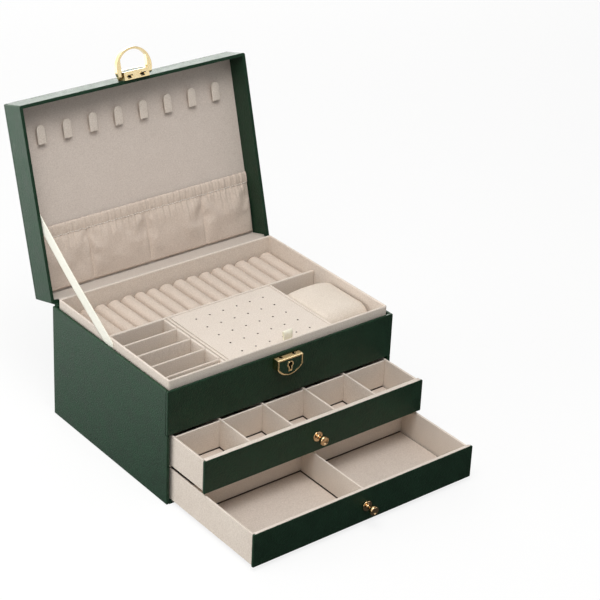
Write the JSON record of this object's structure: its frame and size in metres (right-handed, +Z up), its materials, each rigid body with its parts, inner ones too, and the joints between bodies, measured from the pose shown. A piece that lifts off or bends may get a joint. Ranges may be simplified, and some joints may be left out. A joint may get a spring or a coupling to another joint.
{
  "type": "jewelry box",
  "caption": "Tiered leatherette jewelry box: quilted lid on a leather hinge with a stay ribbon, velvet tray with ring rolls, slots and lift-out plate, pull-out drawers and a bail lock.",
  "frame": {"origin": "centre of the case's underside, on the table", "axes": "+Z up, -Y towards the front with the drawers and the lock, +X to the right seen from the front"},
  "size_m": [0.26, 0.411, 0.3336],
  "materials": {
    "leatherette": "fine-grained dark green leatherette over board",
    "velvet_board": "beige velvet over board",
    "velvet_foam": "beige velvet over foam",
    "satin_ribbon": "cream satin ribbon",
    "pale_gold": "polished pale gold plating",
    "lock_steel": "bare pressed steel"
  },
  "bodies": {
    "case": {"case_floor": "leatherette", "case_left_side": "leatherette", "case_right_side": "leatherette", "case_back": "leatherette", "case_front_fascia": "leatherette", "drawer_shelf": "velvet_board", "tray_floor": "velvet_board", "tray_frame": "velvet_board", "ring_partition": "velvet_board", "slot_wall": "velvet_board", "slot_divider_1": "velvet_board", "slot_divider_2": "velvet_board", "slot_divider_3": "velvet_board", "slot_divider_4": "velvet_board", "plate_frame": "velvet_board", "ring_cushion": "velvet_foam", "lock_case": "pale_gold", "lock_inlay": "leatherette", "keyhole_escutcheon": "pale_gold", "hinge_leather_case": "leatherette", "stay_ribbon": "satin_ribbon"},
    "lid": {"lid_shell": "leatherette", "lid_top_frame": "leatherette", "quilted_pad": "leatherette", "lid_lining": "velvet_board", "lid_back_lining": "velvet_board", "necklace_hook_1": "velvet_board", "necklace_hook_2": "velvet_board", "necklace_hook_3": "velvet_board", "necklace_hook_4": "velvet_board", "necklace_hook_5": "velvet_board", "necklace_hook_6": "velvet_board", "necklace_hook_7": "velvet_board", "necklace_hook_8": "velvet_board", "lid_pocket": "velvet_foam", "hinge_leather_lid": "leatherette", "clasp_case": "pale_gold", "clasp_inlay": "leatherette"},
    "bail": {"bail_ring": "pale_gold"},
    "upper_drawer": {"upper_drawer_box": "velvet_board", "upper_drawer_front": "leatherette", "upper_drawer_floor_pad": "velvet_board", "upper_drawer_cross_board": "velvet_board", "upper_drawer_divider_1": "velvet_board", "upper_drawer_divider_2": "velvet_board", "upper_drawer_divider_3": "velvet_board", "upper_drawer_divider_4": "velvet_board", "upper_drawer_knob": "pale_gold"},
    "lower_drawer": {"lower_drawer_box": "velvet_board", "lower_drawer_front": "leatherette", "lower_drawer_floor_pad": "velvet_board", "lower_drawer_cross_board": "velvet_board", "lower_drawer_divider_1": "velvet_board", "lower_drawer_knob": "pale_gold"},
    "plate": {"earring_plate": "velvet_board", "plate_tab": "satin_ribbon"},
    "pillow": {"watch_pillow": "velvet_foam"},
    "cam": {"key_cam": "lock_steel"},
    "bolt": {"lock_bolt": "lock_steel"}
  },
  "joints": [
    {"name": "lid_hinge", "type": "hinge", "parent": "case", "child": "lid", "pos_m": [0, 0.0968, 0.1183], "axis": [-1, 0, 0], "range_deg": [-105.5, 0], "deforming": ["stay_ribbon"]},
    {"name": "bail_hinge", "type": "hinge", "parent": "lid", "child": "bail", "pos_m": [0, 0.15235, 0.30775], "axis": [-1, 0, 0], "range_deg": [-90, 0]},
    {"name": "upper_drawer_slide", "type": "slide", "parent": "case", "child": "upper_drawer", "axis": [0, -1, 0], "range_m": [-0.0516, 0.085]},
    {"name": "lower_drawer_slide", "type": "slide", "parent": "case", "child": "lower_drawer", "axis": [0, -1, 0], "range_m": [-0.1244, 0.02]},
    {"name": "plate_lift", "type": "slide", "parent": "case", "child": "plate", "axis": [0, 0, 1], "range_m": [0, 0.045]},
    {"name": "pillow_lift", "type": "slide", "parent": "case", "child": "pillow", "axis": [0, 0, 1], "range_m": [0, 0.05]},
    {"name": "key_turn", "type": "hinge", "parent": "case", "child": "cam", "pos_m": [0, -0.10145, 0.109], "axis": [0, 1, 0], "range_deg": [0, 48]},
    {"name": "bolt_slide", "type": "slide", "parent": "case", "child": "bolt", "axis": [1, 0, 0], "range_m": [0, 0.002]}
  ],
  "couplings": [
    {"joint": "key_turn", "follows": "bolt_slide", "rad_per_m": 392.48}
  ]
}
